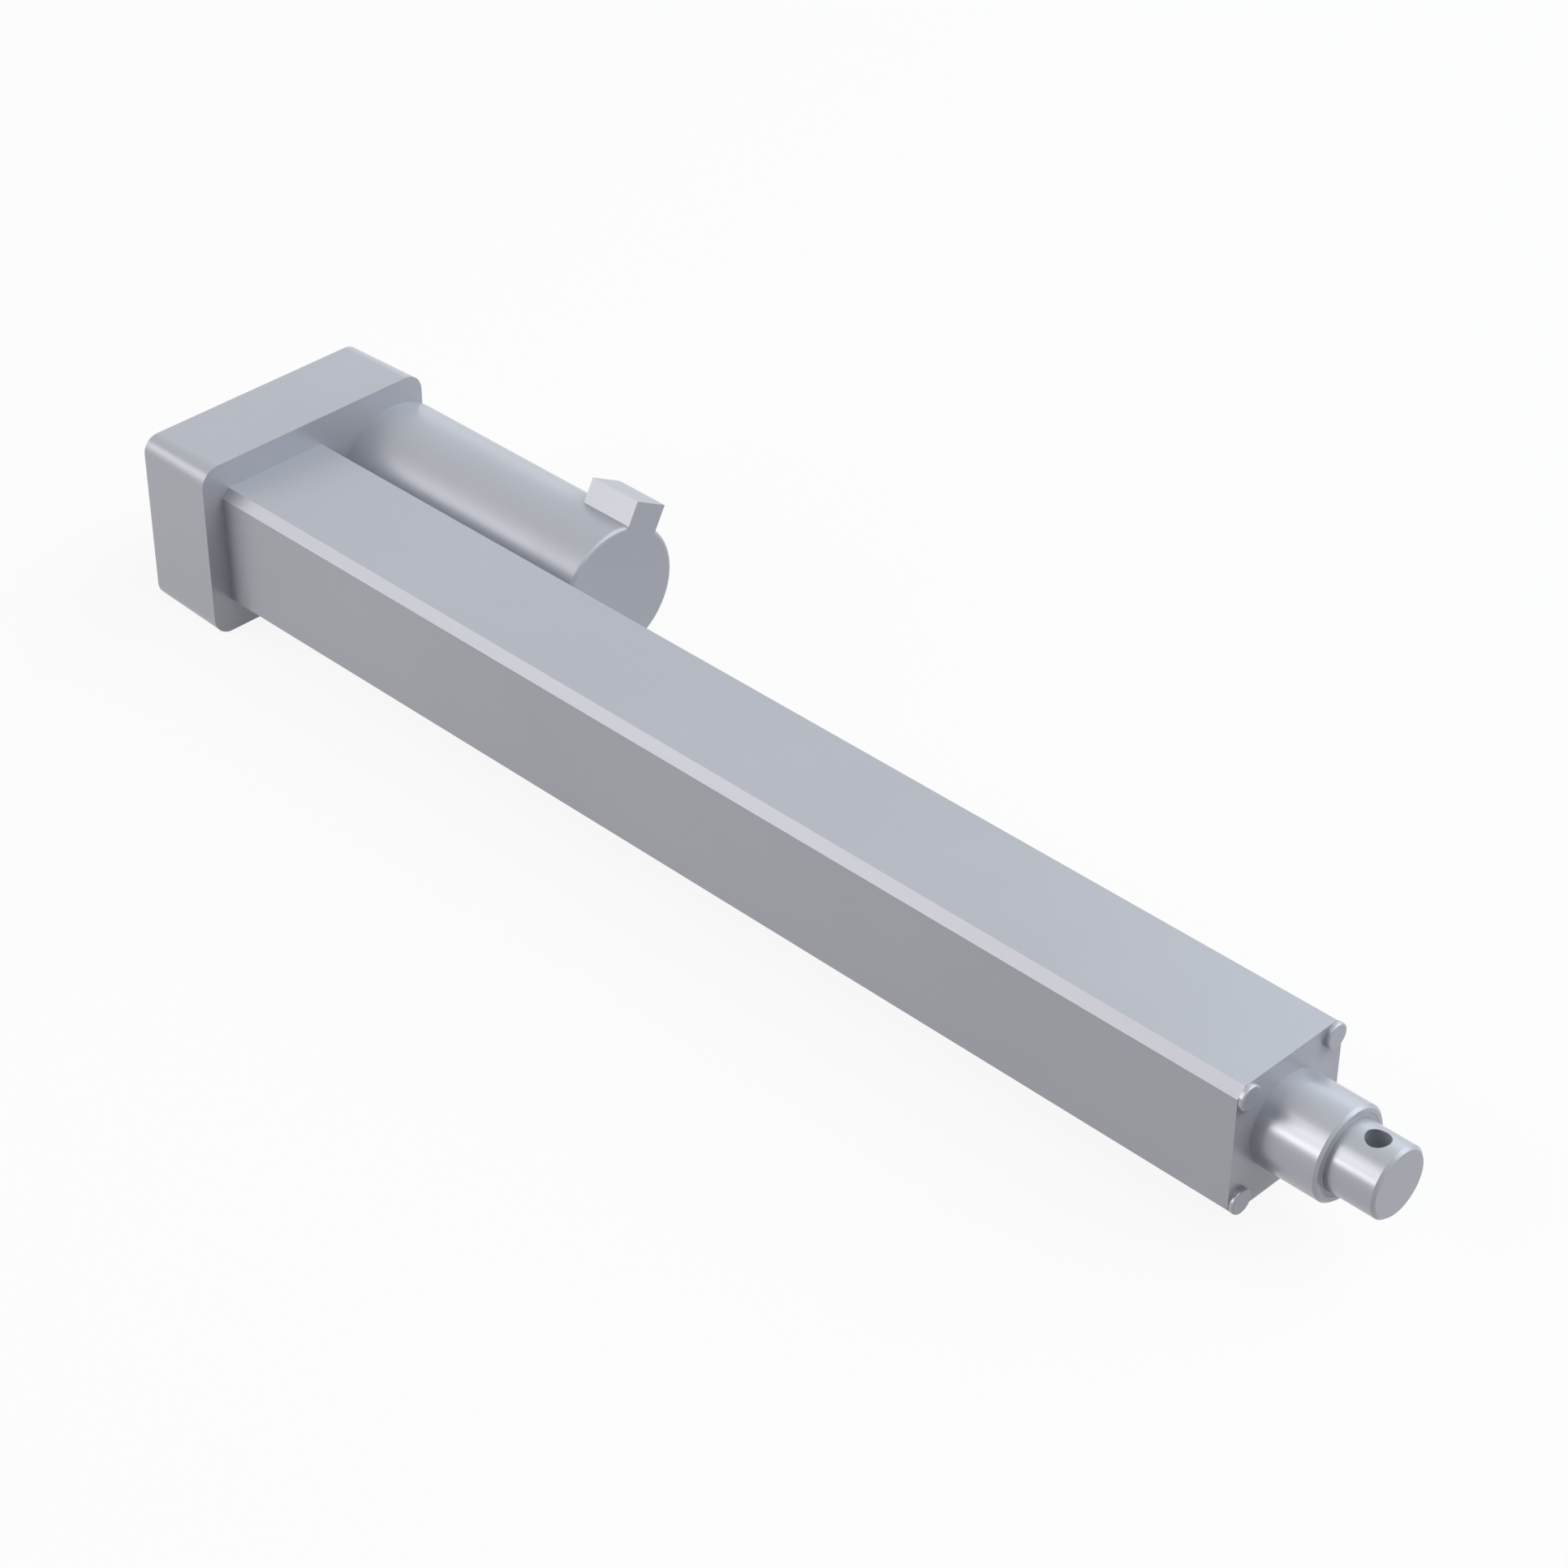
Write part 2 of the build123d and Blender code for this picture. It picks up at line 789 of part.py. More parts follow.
def rod_end():
    start = rod_front - rod_end_length
    body = turned([
        (start - rod_spigot_length, 0),
        (start - rod_spigot_length, rod_bore_radius - press_gap),
        (start, rod_bore_radius - press_gap),
        (start, rod_radius),
        (rod_front - rod_chamfer, rod_radius),
        (rod_front, rod_radius - rod_chamfer),
        (rod_front, 0),
    ])
    return body - Pos(cross_hole, 0, 0) * Cylinder(pin_radius, 2 * rod_radius)


# Lead screw

def lead_screw():
    shoulder = carrier_front - carrier_lip
    ring_rear = screw_front - guide_ring_width
    body = turned([
        (screw_rear, 0),
        (screw_rear, journal_radius),
        (shoulder, journal_radius),
        (shoulder, shoulder_radius),
        (carrier_front, shoulder_radius),
        (carrier_front, screw_radius),
        (ring_rear, screw_radius),
        (ring_rear, guide_ring_bore),
        (screw_front - screw_chamfer, guide_ring_bore),
        (screw_front, guide_ring_bore - screw_chamfer),
        (screw_front, 0),
    ])
    return body - gear_key_block(press_gap)


def gear_key_block(gap):
    half = gear_key_width / 2 + gap
    low = journal_radius - gear_key_width / 2 - gap
    high = journal_radius + gear_key_width / 2 + gap
    return block_between((screw_wheel_rear, screw_wheel_front), (-half, half), (low, high))


def gear_key():
    return gear_key_block(0.0)


def screw_wheel():
    phase = idler_to_screw + math.pi + math.pi / wheel_teeth
    body = spur_gear(
        screw_module, wheel_teeth, phase, screw_wheel_rear, screw_wheel_front, journal_radius + press_gap
    )
    hub = shoulder_radius + web_margin
    body -= web_recesses(screw_module, wheel_teeth, hub, screw_wheel_rear, screw_wheel_front)
    return body - gear_key_block(press_gap)


def spacer_sleeve():
    return ring_along(shoulder_radius, journal_radius + press_gap, screw_wheel_front, housing_front)


def lock_nut():
    body = ring_along(lock_nut_radius, journal_radius + press_gap, screw_rear, screw_wheel_rear)
    for i in range(lock_nut_slots):
        cutter = Box(2 * lock_nut_width, lock_nut_slot_width, lock_nut_slot_width)
        slot = Pos(screw_rear, lock_nut_radius, 0) * cutter
        body -= Rot(360.0 * i / lock_nut_slots, 0, 0) * slot
    return body


def screw_guide_ring():
    outside = rod_bore_radius - guide_ring_gap
    front = screw_front - guide_ring_setback
    return ring_along(outside, guide_ring_bore + press_gap, screw_front - guide_ring_width, front)


# Idler

def idler_wheel():
    phase = idler_to_motor + math.pi / wheel_teeth
    bore = idler_spigot_radius + press_gap
    body = spur_gear(
        motor_module, wheel_teeth, phase, motor_wheel_rear, motor_wheel_front, bore, idler_across, idler_up
    )
    hub = idler_spigot_radius + web_margin
    body -= web_recesses(
        motor_module, wheel_teeth, hub, motor_wheel_rear, motor_wheel_front, idler_across, idler_up
    )
    return body


def idler_pinion():
    bore = idler_axle_radius + running_gap + idler_bush_wall + press_gap
    place = (idler_across, idler_up)
    teeth = spur_gear(
        screw_module, pinion_teeth, idler_to_screw, screw_wheel_rear, motor_wheel_rear, bore, *place
    )
    return teeth + ring_along(idler_spigot_radius, bore, motor_wheel_rear, motor_wheel_front, *place)


def idler_bushes():
    inside = idler_axle_radius + running_gap
    outside = inside + idler_bush_wall
    starts = (screw_wheel_rear, motor_wheel_front - idler_bush_length)
    return [
        ring_along(outside, inside, start, start + idler_bush_length, idler_across, idler_up)
        for start in starts
    ]


def idler_axle():
    start = housing_rear + cover_thickness - axle_seat_depth + axle_end_gap
    return rod_along(idler_axle_radius, start, wall_inside + axle_seat_depth, idler_across, idler_up)


# Motor

def on_motor(x):
    """The drawing plane square to the motor axis at x."""
    return across_plane(x, motor_across, motor_up)


def motor_ring(outer, inner, x_from, x_to):
    return ring_along(outer, inner, x_from, x_to, motor_across, motor_up)


def motor_front_plate():
    sleeve_seat = sleeve_radius + press_gap
    start = housing_front - motor_pilot_length
    body = turned([
        (start, sleeve_seat),
        (start, motor_pilot_radius),
        (housing_front, motor_pilot_radius),
        (housing_front, motor_radius),
        (can_rear, motor_radius),
        (can_rear, motor_radius - can_wall - press_gap),
        (can_rear + can_lip, motor_radius - can_wall - press_gap),
        (can_rear + can_lip, motor_radius - 2 * can_wall),
        (can_rear, motor_radius - 2 * can_wall),
        (can_rear, shaft_radius + sliding_gap),
        (start + sleeve_length, shaft_radius + sliding_gap),
        (start + sleeve_length, sleeve_seat),
    ], motor_across, motor_up)
    for y, z in motor_screw_places():
        body -= rod_along(motor_screw_radius + running_gap, housing_front, can_rear, y, z)
    return body


def motor_can():
    return motor_ring(motor_radius, motor_radius - can_wall, can_rear, end_cap_rear)


def motor_screws():
    seat = wall_inside + counterbore_depth
    length = can_rear - seat - motor_screw_end_gap
    return [
        screw_bar(motor_head_radius, motor_head_height, motor_screw_radius, seat, length, y, z)
        for y, z in motor_screw_places()
    ]


def motor_magnets():
    outside = motor_radius - can_wall - press_gap
    inside = outside - magnet_wall
    start = housing_front + magnet_start
    magnets = []
    for side in (0, 180):
        first = side - magnet_arc / 2
        outer = CenterArc((0, 0), outside, first, magnet_arc)
        inner = CenterArc((0, 0), inside, first, magnet_arc)
        ends = [Line(outer @ 0, inner @ 0), Line(outer @ 1, inner @ 1)]
        face = make_face([outer, inner] + ends)
        magnets.append(extrude(on_motor(start) * face, magnet_span))
    return magnets


def connector_sketch(width, low, high):
    """A rectangle that stands out from the motor axis, leaning away from the tube."""
    return Rot(0, 0, -block_tilt) * Pos(0, (low + high) / 2) * Rectangle(width, high - low)


def motor_end_cap():
    inside = motor_radius - can_wall
    sleeve_seat = sleeve_radius + press_gap
    end_inside = motor_front - end_cap_wall
    body = rod_along(motor_radius, end_cap_rear, motor_front, motor_across, motor_up)
    rim = body.edges().filter_by_position(Axis.X, motor_front - 0.01, motor_front + 0.01)
    body = fillet(rim, motor_rim)
    block = extrude(on_motor(end_cap_rear) * connector_sketch(block_width, inside, block_top), end_cap_length)
    body += block
    body -= rod_along(inside, end_cap_rear, end_inside, motor_across, motor_up)
    lip_inner = inside - can_wall
    body += motor_ring(inside, lip_inner, end_cap_rear, end_cap_rear + can_lip)
    body += motor_ring(inside - press_gap, lip_inner, end_cap_rear - can_lip, end_cap_rear)
    body += motor_ring(sleeve_radius + sleeve_boss_wall, sleeve_seat, end_inside - sleeve_length, end_inside)
    roof = block_top - socket_roof
    socket = connector_sketch(socket_width, roof - socket_height, roof)
    return body - extrude(on_motor(end_cap_rear) * socket, socket_depth)


def connector_contacts():
    centre = block_top - socket_roof - socket_height / 2
    pitch = socket_width / contact_count
    start = end_cap_rear + socket_depth - contact_length
    contacts = []
    for i in range(contact_count):
        side = (i - (contact_count - 1) / 2) * pitch
        sketch = Rot(0, 0, -block_tilt) * Pos(side, centre) * Rectangle(contact_size, contact_size)
        contacts.append(extrude(on_motor(start) * sketch, contact_length))
    return contacts


def motor_sleeves():
    """Sintered sleeves that carry the motor shaft at both ends."""
    front = housing_front - motor_pilot_length
    rear = motor_front - end_cap_wall - sleeve_length
    inside = shaft_radius + running_gap
    return [motor_ring(sleeve_radius, inside, start, start + sleeve_length) for start in (front, rear)]


def motor_shaft():
    shaft_end = motor_front - end_cap_wall - shaft_end_gap
    return rod_along(shaft_radius, motor_wheel_rear, shaft_end, motor_across, motor_up)


def slot_places(radius_from, radius_to, width):
    """Radial rectangles around the motor axis, one for each armature slot."""
    middle = (radius_from + radius_to) / 2
    slot = Pos(middle, 0) * Rectangle(radius_to - radius_from, width)
    return [Rot(0, 0, 360.0 * i / core_slots) * slot for i in range(core_slots)]


def armature_core():
    face = Circle(rotor_radius) - Circle(shaft_radius + press_gap)
    for slot in slot_places(rotor_radius - slot_depth, rotor_radius + 1, slot_width):
        face -= slot
    return extrude(on_motor(core_rear) * face, core_span)


def armature_winding():
    hub = winding_radius - winding_wall
    rear = motor_ring(winding_radius, hub, core_rear - winding_overhang, core_rear)
    front = motor_ring(winding_radius, hub, core_front, core_front + winding_overhang)
    rear = chamfer(rear.edges().group_by(Axis.X)[0], winding_edge)
    front = chamfer(front.edges().group_by(Axis.X)[-1], winding_edge)
    body = rear + front
    bars = slot_places(rotor_radius - slot_depth, winding_radius, slot_width - 2 * press_gap)
    for bar in bars:
        body += extrude(on_motor(core_rear) * bar, core_span)
    return body


def commutator():
    face = Circle(commutator_radius) - Circle(shaft_radius + press_gap)
    for slit in slot_places(commutator_radius - bar_slit_depth, commutator_radius + 1, bar_slit):
        face -= slit
    return extrude(on_motor(commutator_rear) * face, commutator_length)


def brush_boxes(side, margin, low, high, x_from, x_to):
    """A block on one side of the commutator, above it for side 1 and below it for side -1."""
    half = brush_width / 2 + margin
    z_range = sorted((motor_up + side * low, motor_up + side * high))
    return block_between((x_from, x_to), (motor_across - half, motor_across + half), z_range)


def brush_middle():
    return commutator_rear + commutator_length / 2


def motor_brushes():
    low = commutator_radius + brush_gap
    rear = brush_middle() - brush_length / 2
    front = brush_middle() + brush_length / 2
    return [brush_boxes(side, 0, low, low + brush_height, rear, front) for side in (1, -1)]


def brush_holder():
    low = holder_hole
    high = commutator_radius + brush_gap + brush_height + brush_box_wall
    rear = brush_middle() - brush_length / 2
    front = brush_middle() + brush_length / 2
    plate_rear = end_cap_rear + can_lip
    outside = motor_radius - can_wall - press_gap
    body = motor_ring(outside, holder_hole, plate_rear, plate_rear + holder_thickness)
    for side in (1, -1):
        body += brush_boxes(side, brush_box_wall, low, high, rear - brush_box_wall, plate_rear)
        body -= brush_boxes(side, press_gap, low, high - brush_box_wall, rear - press_gap, front + press_gap)
    return body


def motor_pinion():
    phase = idler_to_motor + math.pi
    bore = shaft_radius + press_gap
    return spur_gear(
        motor_module, pinion_teeth, phase, motor_wheel_rear, motor_wheel_front, bore, motor_across, motor_up
    )


pieces = {
    "gear_housing": gear_housing,
    "rear_cover": rear_cover,
    "eye_bush": eye_bush,
    "cover_gasket": cover_gasket,
    "cover_screws": cover_screws,
    "outer_tube": outer_tube,
    "tube_screws": tube_screws,
    "bearing_carrier": bearing_carrier,
    "carrier_screws": carrier_screws,
    "screw_bearing_outer_rings": screw_bearing_outer_rings,
    "screw_bearing_inner_rings": screw_bearing_inner_rings,
    "screw_bearing_balls": screw_bearing_balls,
    "outer_bearing_spacer": outer_bearing_spacer,
    "inner_bearing_spacer": inner_bearing_spacer,
    "front_head": front_head,
    "rod_collar": rod_collar,
    "front_screws": front_screws,
    "guide_bush": guide_bush,
    "rod_seal": rod_seal,
    "wiper_seal": wiper_seal,
    "front_buffer": front_buffer,
    "rear_buffer": rear_buffer,
    "sensor_strip": sensor_strip,
    "reed_switches": reed_switches,
    "piston": piston,
    "guide_keys": guide_keys,
    "wear_rings": wear_rings,
    "position_magnet": position_magnet,
    "drive_nut": drive_nut,
    "nut_retainer": nut_retainer,
    "extension_rod": extension_rod,
    "rod_end": rod_end,
    "lead_screw": lead_screw,
    "gear_key": gear_key,
    "screw_wheel": screw_wheel,
    "spacer_sleeve": spacer_sleeve,
    "lock_nut": lock_nut,
    "screw_guide_ring": screw_guide_ring,
    "idler_wheel": idler_wheel,
    "idler_pinion": idler_pinion,
    "idler_bushes": idler_bushes,
    "idler_axle": idler_axle,
    "motor_front_plate": motor_front_plate,
    "motor_can": motor_can,
    "motor_screws": motor_screws,
    "motor_magnets": motor_magnets,
    "motor_end_cap": motor_end_cap,
    "connector_contacts": connector_contacts,
    "motor_sleeves": motor_sleeves,
    "motor_shaft": motor_shaft,
    "armature_core": armature_core,
    "armature_winding": armature_winding,
    "commutator": commutator,
    "motor_brushes": motor_brushes,
    "brush_holder": brush_holder,
    "motor_pinion": motor_pinion,
}

os.makedirs("parts", exist_ok=True)
for name, make in pieces.items():
    shape = make()
    if isinstance(shape, list):
        shape = Compound(children=shape)
    export_step(shape, f"parts/{name}.step")
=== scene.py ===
import math
import bpy
from mathutils import Matrix, Vector


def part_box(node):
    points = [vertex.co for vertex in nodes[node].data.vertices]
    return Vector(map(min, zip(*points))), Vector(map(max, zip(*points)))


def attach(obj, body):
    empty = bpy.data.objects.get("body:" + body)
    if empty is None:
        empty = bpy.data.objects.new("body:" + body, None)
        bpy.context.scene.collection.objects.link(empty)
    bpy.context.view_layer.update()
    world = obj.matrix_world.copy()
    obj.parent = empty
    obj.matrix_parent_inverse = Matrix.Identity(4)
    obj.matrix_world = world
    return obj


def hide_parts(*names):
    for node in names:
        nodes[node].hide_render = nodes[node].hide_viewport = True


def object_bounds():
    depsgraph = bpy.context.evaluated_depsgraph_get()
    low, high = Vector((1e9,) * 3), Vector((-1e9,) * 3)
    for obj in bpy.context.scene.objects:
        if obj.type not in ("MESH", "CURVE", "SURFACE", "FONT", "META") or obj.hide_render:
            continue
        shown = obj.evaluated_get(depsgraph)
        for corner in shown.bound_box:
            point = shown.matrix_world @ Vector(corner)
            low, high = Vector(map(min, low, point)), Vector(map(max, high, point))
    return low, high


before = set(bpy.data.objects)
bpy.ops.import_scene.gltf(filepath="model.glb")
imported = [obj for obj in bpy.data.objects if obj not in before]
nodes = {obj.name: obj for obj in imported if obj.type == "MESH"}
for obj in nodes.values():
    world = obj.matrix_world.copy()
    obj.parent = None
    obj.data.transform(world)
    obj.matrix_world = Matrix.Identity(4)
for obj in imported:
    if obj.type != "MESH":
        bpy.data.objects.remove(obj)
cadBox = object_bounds()
print("frame loaded,", len(nodes), "solids")


# a socket that can be used in sums, so that shader maths reads as an expression
class Wire:
    def __init__(self, bench, socket):
        self.bench = bench
        self.socket = socket

    def math(self, operation, first, second):
        return self.bench.add("ShaderNodeMath", {"operation": operation}, {0: first, 1: second})

    def __add__(self, other):
        return self.math("ADD", self, other)

    def __radd__(self, other):
        return self.math("ADD", other, self)

    def __sub__(self, other):
        return self.math("SUBTRACT", self, other)

    def __rsub__(self, other):
        return self.math("SUBTRACT", other, self)

    def __mul__(self, other):
        return self.math("MULTIPLY", self, other)

    def __rmul__(self, other):
        return self.math("MULTIPLY", other, self)

    def __pow__(self, other):
        return self.math("POWER", self, other)


# the node tree of a material or of the world
class Bench:
    def __init__(self, block):
        self.block = block
        self.block.use_nodes = True
        self.tree = self.block.node_tree
        self.tree.nodes.clear()

    def add(self, kind, settings=None, sockets=None, out=0):
        node = self.tree.nodes.new(kind)
        for key, value in (settings or {}).items():
            if key == "stops":
                ramp = node.color_ramp
                for i, (place, shade) in enumerate(value):
                    stop = ramp.elements[i] if i < 2 else ramp.elements.new(place)
                    stop.position = place
                    stop.color = (shade, shade, shade, 1)
            else:
                setattr(node, key, value)
        for key, value in (sockets or {}).items():
            if isinstance(value, Wire):
                self.tree.links.new(value.socket, node.inputs[key])
            else:
                node.inputs[key].default_value = value
        return Wire(self, node.outputs[out]) if node.outputs else None

    def noise(self, place, scale, kind, stretch=(1, 1, 1)):
        spot = self.add("ShaderNodeMapping", {}, {"Vector": place, "Scale": stretch})
        return self.add("ShaderNodeTexNoise", {}, {
            "Vector": spot, "Scale": scale, "Detail": kind["detail"], "Roughness": kind["rough"],
        })

    def ramp(self, value, *stops):
        return self.add("ShaderNodeValToRGB", {"stops": stops}, {"Fac": value})

    def parts(self, place):
        node = self.add("ShaderNodeSeparateXYZ", {}, {"Vector": place}).socket.node
        return [Wire(self, socket) for socket in node.outputs]

    # two colours blended; a Mix node keeps its colours in sockets 6 and 7 and gives the blend in socket 2
    def mix(self, share, first, second):
        return self.add("ShaderNodeMix", {"data_type": "RGBA"}, {0: share, 6: first, 7: second}, out=2)

    # 1 for what the camera sees, also in gloss and through glass, and 0 for the light that falls on the object
    def seen(self):
        direct, glossy, through = (
            self.add("ShaderNodeLightPath", out=f"Is {ray} Ray") for ray in ("Camera", "Glossy", "Transmission")
        )
        return self.add("ShaderNodeMath", {"operation": "MINIMUM"}, {0: direct + glossy + through, 1: 1.0})


def tone(colour, share=1.0):
    return (colour[0] * share, colour[1] * share, colour[2] * share, 1.0)


# a turned piece's tool marks run round its axis, so its grain is read along the axis and out from it
def turnedPlace(bench, place, axis):
    x, y, z = bench.parts(place)
    away = ((y - axis[0]) ** 2 + (z - axis[1]) ** 2) ** 0.5
    return bench.add("ShaderNodeCombineXYZ", {}, {"X": x, "Y": away, "Z": 0.0})


# how each noise is built, and between which values its mask goes from none to full
noiseKinds = {
    "cloud": {"detail": 3.0, "rough": 0.55, "none": 0.3, "full": 0.7},
    "grain": {"detail": 3.0, "rough": 0.6, "none": 0.25, "full": 0.75},
    "fine": {"detail": 2.0, "rough": 0.6, "height": 0.5},
}
# worn edges: how far the wear spreads, where it is full, its share without and with grain, and its extra gloss
edges = {"samples": 4, "spread": 1.6, "full": 0.22, "evenWear": 0.55, "grainWear": 0.45, "gloss": 0.12}


def maskOf(bench, noise, kind):
    return bench.ramp(noise, (kind["none"], 0.0), (kind["full"], 1.0))


# one finish for every hard surface: tone, fine grain, cloudy sheen and, with an edge width, softened edges
# rough stays over 0.275 on what the photograph shows, because the denoiser mottles metal that crosses that value
def makeFinish(name, look):
    bench = Bench(bpy.data.materials.new(name))
    place = bench.add("ShaderNodeTexCoord", out="Object")
    grainPlace = turnedPlace(bench, place, look["axis"]) if look["axis"] else place
    cloud = bench.noise(place, look["cloudScale"], noiseKinds["cloud"])
    grain = bench.noise(grainPlace, look["grainScale"], noiseKinds["grain"], look["grainStretch"])
    fine = bench.noise(place, look["fineScale"], noiseKinds["fine"])
    cloudMask = maskOf(bench, cloud, noiseKinds["cloud"])
    grainMask = maskOf(bench, grain, noiseKinds["grain"])
    darker = tone(look["colour"], 1 - look["cloudShade"])
    lighter = tone(look["colour"], 1 + look["cloudShade"])
    base = bench.mix(cloudMask, darker, lighter)
    worn = bench.mix(grainMask * look["grainShade"], base, tone(look["colour"], look["grainTone"]))
    rough = look["rough"] + look["roughCloud"] * (cloudMask - 0.5) + look["roughGrain"] * (grainMask - 0.5)
    bumps = {"Height": grain + noiseKinds["fine"]["height"] * fine, "Distance": look["bump"], "Strength": 1.0}
    if look["edgeWidth"]:
        bevel = {"samples": edges["samples"]}
        wide = bench.add("ShaderNodeBevel", bevel, {"Radius": look["edgeWidth"] * edges["spread"]})
        flat = bench.add("ShaderNodeNewGeometry", out="Normal")
        facing = bench.add("ShaderNodeVectorMath", {"operation": "DOT_PRODUCT"}, {0: wide, 1: flat}, out="Value")
        edge = bench.ramp(1 - facing, (0.0, 0.0), (edges["full"], 1.0))
        wear = edge * look["edgeWear"] * (edges["evenWear"] + edges["grainWear"] * grainMask)
        worn = bench.mix(wear, worn, tone(look["edgeColour"]))
        rough = rough - look["edgeWear"] * edges["gloss"] * edge
        bumps["Normal"] = bench.add("ShaderNodeBevel", bevel, {"Radius": look["edgeWidth"]})
    shader = bench.add("ShaderNodeBsdfPrincipled", {}, {
        "Base Color": worn,
        "Roughness": rough,
        "Metallic": look["metal"],
        "Normal": bench.add("ShaderNodeBump", {}, bumps),
        "Specular IOR Level": look["specular"],
    })
    bench.add("ShaderNodeOutputMaterial", {}, {"Surface": shader})
    return bench.block


plainLook = {
    "colour": (0.478, 0.494, 0.545), "cloudScale": 12.0, "cloudShade": 0.02, "axis": None,
    "grainScale": 1500.0, "grainStretch": (1, 1, 1), "grainShade": 0.10, "grainTone": 0.9, "fineScale": 3200.0,
    "edgeColour": (0.58, 0.60, 0.65), "edgeWear": 0.25, "edgeWidth": 0.0003,
    "rough": 0.32, "roughCloud": 0.02, "roughGrain": 0.02, "bump": 0.000008, "metal": 0.18, "specular": 0.5,
}


def lookOf(**changes):
    return {**plainLook, **changes}


tubeAxis = (0.0, 0.0)  # across and up
motorAxis = (0.06685, 0.0005)
finishes = {
    "castHousing": lookOf(
        grainScale=900.0, grainShade=0.06, bump=0.000004, rough=0.295, roughGrain=0.01, metal=0.22, edgeWidth=0,
    ),
    "drawnTube": lookOf(grainScale=900.0, grainStretch=(0.02, 1, 1), cloudScale=9.0, edgeWidth=0),
    "headPlate": lookOf(grainScale=1100.0, grainShade=0.05, edgeWidth=0),
    "turnedHead": lookOf(
        grainScale=2600.0, axis=tubeAxis, grainShade=0.03, rough=0.295, roughGrain=0.01, metal=0.34, bump=0.0000006,
        edgeWidth=0,
    ),
    "motorCan": lookOf(
        grainScale=1300.0, axis=motorAxis, grainShade=0.03, rough=0.33, metal=0.20, bump=0.000001, edgeWidth=0,
    ),
    "motorCap": lookOf(grainScale=1300.0, grainShade=0.03, rough=0.34, bump=0.000001, edgeWidth=0),
    "groundRod": lookOf(
        grainScale=3200.0, axis=tubeAxis, grainShade=0.02, rough=0.29, roughGrain=0.01, metal=0.32, bump=0.0000003,
        edgeWidth=0,
    ),
    "screwHeads": lookOf(grainScale=1900.0, grainShade=0.03, rough=0.30, metal=0.3, bump=0.000001, edgeWidth=0),
    "bearingSteel": lookOf(
        colour=(0.42, 0.43, 0.45), grainScale=2200.0, axis=tubeAxis, rough=0.22, metal=0.9,
    ),
    "gearSteel": lookOf(
        colour=(0.24, 0.24, 0.25), grainScale=1600.0, rough=0.33, metal=0.8, edgeColour=(0.5, 0.5, 0.5),
    ),
    "sinteredBronze": lookOf(
        colour=(0.46, 0.29, 0.12), grainScale=2600.0, rough=0.42, metal=0.8, bump=0.00002,
        edgeColour=(0.66, 0.46, 0.24),
    ),
    "enamelledCopper": lookOf(
        colour=(0.42, 0.15, 0.06), grainScale=1400.0, axis=motorAxis, rough=0.28, edgeColour=(0.6, 0.3, 0.16),
    ),
    "ferrite": lookOf(
        colour=(0.035, 0.035, 0.038), grainScale=2400.0, rough=0.55, metal=0.1, edgeColour=(0.1, 0.1, 0.1),
    ),
    "darkPlastic": lookOf(
        colour=(0.03, 0.03, 0.034), grainScale=1700.0, rough=0.5, metal=0.0, edgeColour=(0.07, 0.07, 0.07),
    ),
    "palePlastic": lookOf(
        colour=(0.62, 0.61, 0.56), grainScale=1700.0, rough=0.45, metal=0.0, edgeColour=(0.75, 0.74, 0.7),
    ),
    "wiperPlastic": lookOf(
        grainScale=1700.0, axis=tubeAxis, grainShade=0.03, rough=0.36, bump=0.000001, edgeWidth=0,
    ),
    "boardLaminate": lookOf(
        colour=(0.03, 0.12, 0.05), grainScale=1200.0, grainStretch=(0.3, 1, 1), rough=0.42, metal=0.0,
        edgeColour=(0.2, 0.24, 0.14),
    ),
    "sealRubber": lookOf(
        colour=(0.022, 0.022, 0.024), grainScale=1300.0, rough=0.62, metal=0.0, bump=0.00003,
        edgeColour=(0.05, 0.05, 0.05),
    ),
}

finishOf = {
    "castHousing": ["gear_housing", "rear_cover"],
    "drawnTube": ["outer_tube"],
    "headPlate": ["front_head"],
    "motorCan": ["motor_can", "motor_front_plate"],
    "motorCap": ["motor_end_cap"],
    "groundRod": ["extension_rod", "rod_end"],
    "turnedHead": ["rod_collar", "bearing_carrier", "piston"],
    "screwHeads": [
        "front_screws", "cover_screws", "tube_screws", "carrier_screws", "motor_screws", "lock_nut", "gear_key",
        "nut_retainer",
    ],
    "bearingSteel": [
        "screw_bearing_outer_rings", "screw_bearing_inner_rings", "screw_bearing_balls", "outer_bearing_spacer",
        "inner_bearing_spacer", "spacer_sleeve", "idler_axle", "motor_shaft", "lead_screw", "armature_core",
    ],
    "gearSteel": ["screw_wheel", "idler_wheel", "idler_pinion", "motor_pinion"],
    "sinteredBronze": ["eye_bush", "guide_bush", "idler_bushes", "motor_sleeves", "drive_nut", "connector_contacts"],
    "enamelledCopper": ["armature_winding", "commutator"],
    "ferrite": ["motor_magnets", "position_magnet"],
    "darkPlastic": ["motor_brushes", "brush_holder", "reed_switches"],
    "palePlastic": ["guide_keys", "wear_rings", "screw_guide_ring"],
    "wiperPlastic": ["wiper_seal"],
    "boardLaminate": ["sensor_strip"],
    "sealRubber": ["cover_gasket", "rod_seal", "front_buffer", "rear_buffer"],
}

materials = {name: makeFinish(name, look) for name, look in finishes.items()}
for finish, names in finishOf.items():
    for name in names:
        slots = nodes[name].material_slots
        if not slots:
            nodes[name].data.materials.append(materials[finish])
        for slot in slots:
            slot.material = materials[finish]
print("finishes laid on", sum(len(names) for names in finishOf.values()), "solids")


squarely = 0.9  # how nearly a face's normal lies along the axis to count as an end face
mergeGap = 0.000001


